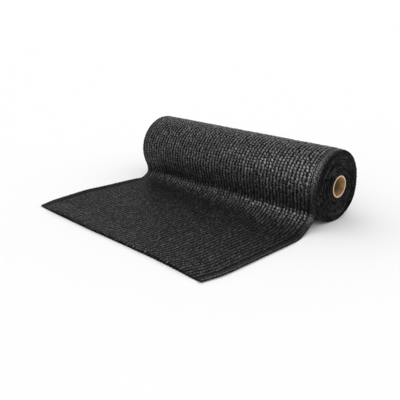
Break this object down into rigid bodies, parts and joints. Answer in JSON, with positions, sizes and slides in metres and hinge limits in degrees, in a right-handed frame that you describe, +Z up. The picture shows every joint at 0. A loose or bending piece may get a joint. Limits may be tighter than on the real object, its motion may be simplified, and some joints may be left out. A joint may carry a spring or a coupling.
{
  "type": "shade net roll",
  "caption": "Roll of black knitted shade net wound on a cardboard core, with its loose end run out flat on the floor; unrolls to screen or shade a garden.",
  "frame": {"origin": "on the floor, under the middle of the roll and its loose end", "axes": "+X along the roll towards its near end, -Y the way the loose end is run out, +Z up"},
  "size_m": [1.0384, 0.8712, 0.2819],
  "materials": {
    "net": "knitted black polyethylene yarn, faint sheen",
    "core": "brown wound paper tube with a paler cut end"
  },
  "bodies": {
    "root": {"net": "net", "core": "core"}
  },
  "joints": []
}
